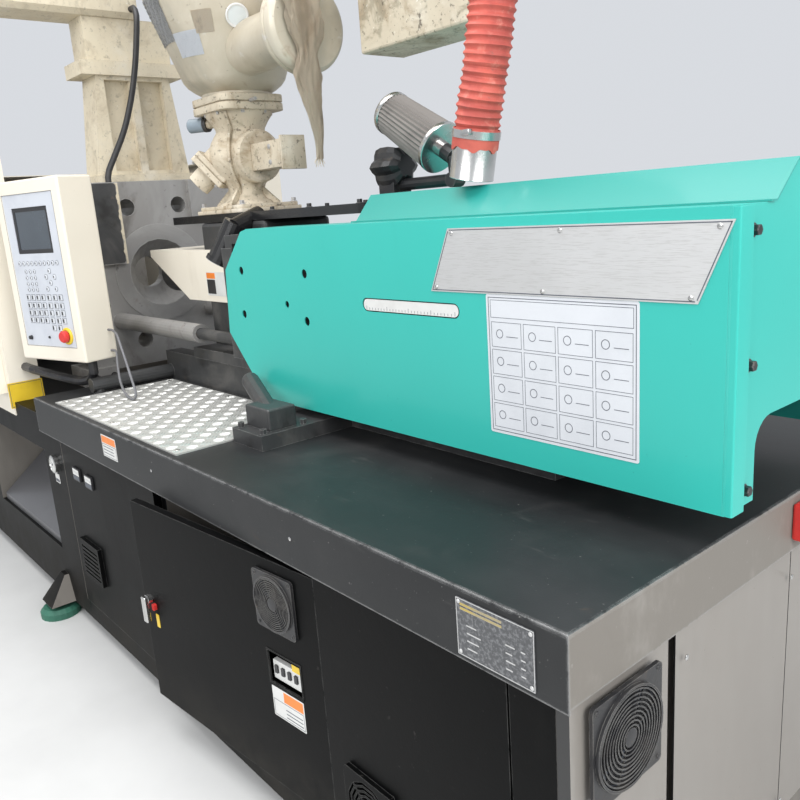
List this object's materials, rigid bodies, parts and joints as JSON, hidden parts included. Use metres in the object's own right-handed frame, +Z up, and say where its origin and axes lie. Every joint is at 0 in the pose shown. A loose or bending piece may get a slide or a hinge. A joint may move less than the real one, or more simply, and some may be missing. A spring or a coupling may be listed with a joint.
{
  "type": "horizontal injection moulding machine",
  "caption": "Horizontal plastic injection moulding machine with hydraulic clamp, reciprocating screw, swivel control panel, hopper dryer and take-out robot.",
  "frame": {"origin": "middle of the footprint at floor level", "axes": "+X along the bed from the clamp to the injection end, +Y to the rear side, +Z up"},
  "size_m": [4.9286, 2.1825, 2.745],
  "materials": {
    "charcoal_paint": "dark satin paint, worn at its edges",
    "cream_paint": "satin cream enamel",
    "teal_paint": "satin teal enamel",
    "grey_plate": "grey painted sheet",
    "worn_steel": "dark machined casting with oil stains",
    "bright_steel": "ground and plated steel",
    "tread_aluminium": "raised checker plate",
    "black_iron": "black painted iron",
    "green_pad": "dark green rubber and iron",
    "keypad": "pale keypad film round a dark screen",
    "red_plastic": "red moulding",
    "aged_cream": "aged cream paint with dust",
    "filter_grey": "dusty pleated paper in a steel rim",
    "hose_red": "ribbed red silicone hose",
    "cable_black": "black sheath",
    "cable_grey": "grey sheath",
    "cloth": "plain woven filter cloth"
  },
  "bodies": {
    "machine": {"bed_frame": "charcoal_paint", "bed_top": "charcoal_paint", "left_panel": "charcoal_paint", "right_panel": "charcoal_paint", "end_panel": "grey_plate", "fan_guard_end": "black_iron", "levelling_mount_1": "green_pad", "levelling_mount_2": "green_pad", "levelling_mount_3": "green_pad", "levelling_mount_4": "green_pad", "levelling_mount_5": "green_pad", "levelling_mount_6": "green_pad", "discharge_chute": "grey_plate", "tread_plate": "tread_aluminium", "end_stop_box": "red_plastic", "fixed_platen": "worn_steel", "rear_platen": "worn_steel", "tie_bar_1": "bright_steel", "tie_bar_2": "bright_steel", "tie_bar_3": "bright_steel", "tie_bar_4": "bright_steel", "clamp_cylinder": "worn_steel", "guard_frame": "cream_paint", "panel_arm": "black_iron", "slide_base": "black_iron", "robot_pedestal": "cream_paint", "robot_beam": "cream_paint", "robot_cable": "cable_black"},
    "cabinet_door": {"cabinet_door": "charcoal_paint", "fan_guard_door": "black_iron"},
    "door_latch": {"door_latch": "bright_steel"},
    "end_stop_button": {"end_stop_button": "red_plastic"},
    "moving_platen": {"moving_platen": "worn_steel"},
    "ejector": {"ejector": "bright_steel"},
    "front_guard_door": {"front_guard_door": "cream_paint"},
    "rear_guard_door": {"rear_guard_door": "cream_paint"},
    "panel": {"panel_housing": "cream_paint", "panel_keypad": "keypad", "panel_cable": "cable_grey"},
    "panel_stop_button": {"panel_stop_button": "red_plastic"},
    "injection_carriage": {"feed_housing": "worn_steel", "barrel": "bright_steel", "purge_guard": "cream_paint", "cover_front": "teal_paint", "cover_rear": "teal_paint", "cover_roof": "teal_paint", "cover_end": "teal_paint", "hopper_slide": "black_iron", "dryer_blower": "black_iron", "air_filter": "filter_grey"},
    "screw_drive": {"injection_head": "worn_steel"},
    "screw": {"screw": "bright_steel"},
    "hopper": {"hopper_valve": "aged_cream", "hopper_body": "aged_cream", "filter_bag": "cloth", "control_box": "aged_cream", "hopper_hose": "hose_red", "hose_spigot": "bright_steel"},
    "robot_carriage": {"robot_carriage": "cream_paint"},
    "robot_arm": {"robot_arm": "bright_steel"}
  },
  "joints": [
    {"name": "cabinet_door_hinge", "type": "hinge", "parent": "machine", "child": "cabinet_door", "pos_m": [1.802, -0.26355, 0.39], "axis": [0, 0, 1], "range_deg": [-5, 100]},
    {"name": "door_latch_turn", "type": "hinge", "parent": "cabinet_door", "child": "door_latch", "pos_m": [1.11465, -0.32399, 0.412], "axis": [0.0872, -0.9962, 0], "range_deg": [0, 90]},
    {"name": "end_stop_press", "type": "slide", "parent": "machine", "child": "end_stop_button", "axis": [-1, 0, 0], "range_m": [0, 0.006], "stiffness_N_per_m": 600, "springref_m": -0.003},
    {"name": "clamp_slide", "type": "slide", "parent": "machine", "child": "moving_platen", "axis": [1, 0, 0], "range_m": [0, 0.45]},
    {"name": "ejector_slide", "type": "slide", "parent": "moving_platen", "child": "ejector", "axis": [1, 0, 0], "range_m": [0, 0.08]},
    {"name": "front_guard_slide", "type": "slide", "parent": "machine", "child": "front_guard_door", "axis": [-1, 0, 0], "range_m": [0, 0.85]},
    {"name": "rear_guard_slide", "type": "slide", "parent": "machine", "child": "rear_guard_door", "axis": [-1, 0, 0], "range_m": [0, 0.85]},
    {"name": "panel_swivel", "type": "hinge", "parent": "machine", "child": "panel", "pos_m": [0.27652, -0.09582, 0.914], "axis": [0, 0, 1], "range_deg": [-20, 45]},
    {"name": "panel_stop_press", "type": "slide", "parent": "panel", "child": "panel_stop_button", "axis": [-0.2588, 0.9659, 0], "range_m": [0, 0.006], "stiffness_N_per_m": 600, "springref_m": -0.003},
    {"name": "carriage_slide", "type": "slide", "parent": "machine", "child": "injection_carriage", "axis": [1, 0, 0], "range_m": [-0.18, 0.1]},
    {"name": "injection_slide", "type": "slide", "parent": "injection_carriage", "child": "screw_drive", "axis": [1, 0, 0], "range_m": [-0.2, 0]},
    {"name": "screw_turn", "type": "hinge", "parent": "screw_drive", "child": "screw", "pos_m": [0.99, 0.35875, 1.155], "axis": [1, 0, 0], "continuous": true},
    {"name": "hopper_slide_out", "type": "slide", "parent": "injection_carriage", "child": "hopper", "axis": [-1, 0, 0], "range_m": [0, 0.18]},
    {"name": "robot_traverse", "type": "slide", "parent": "machine", "child": "robot_carriage", "axis": [0, 1, 0], "range_m": [0, 1.2]},
    {"name": "robot_drop", "type": "slide", "parent": "robot_carriage", "child": "robot_arm", "axis": [0, 0, -1], "range_m": [0, 0.75]}
  ]
}
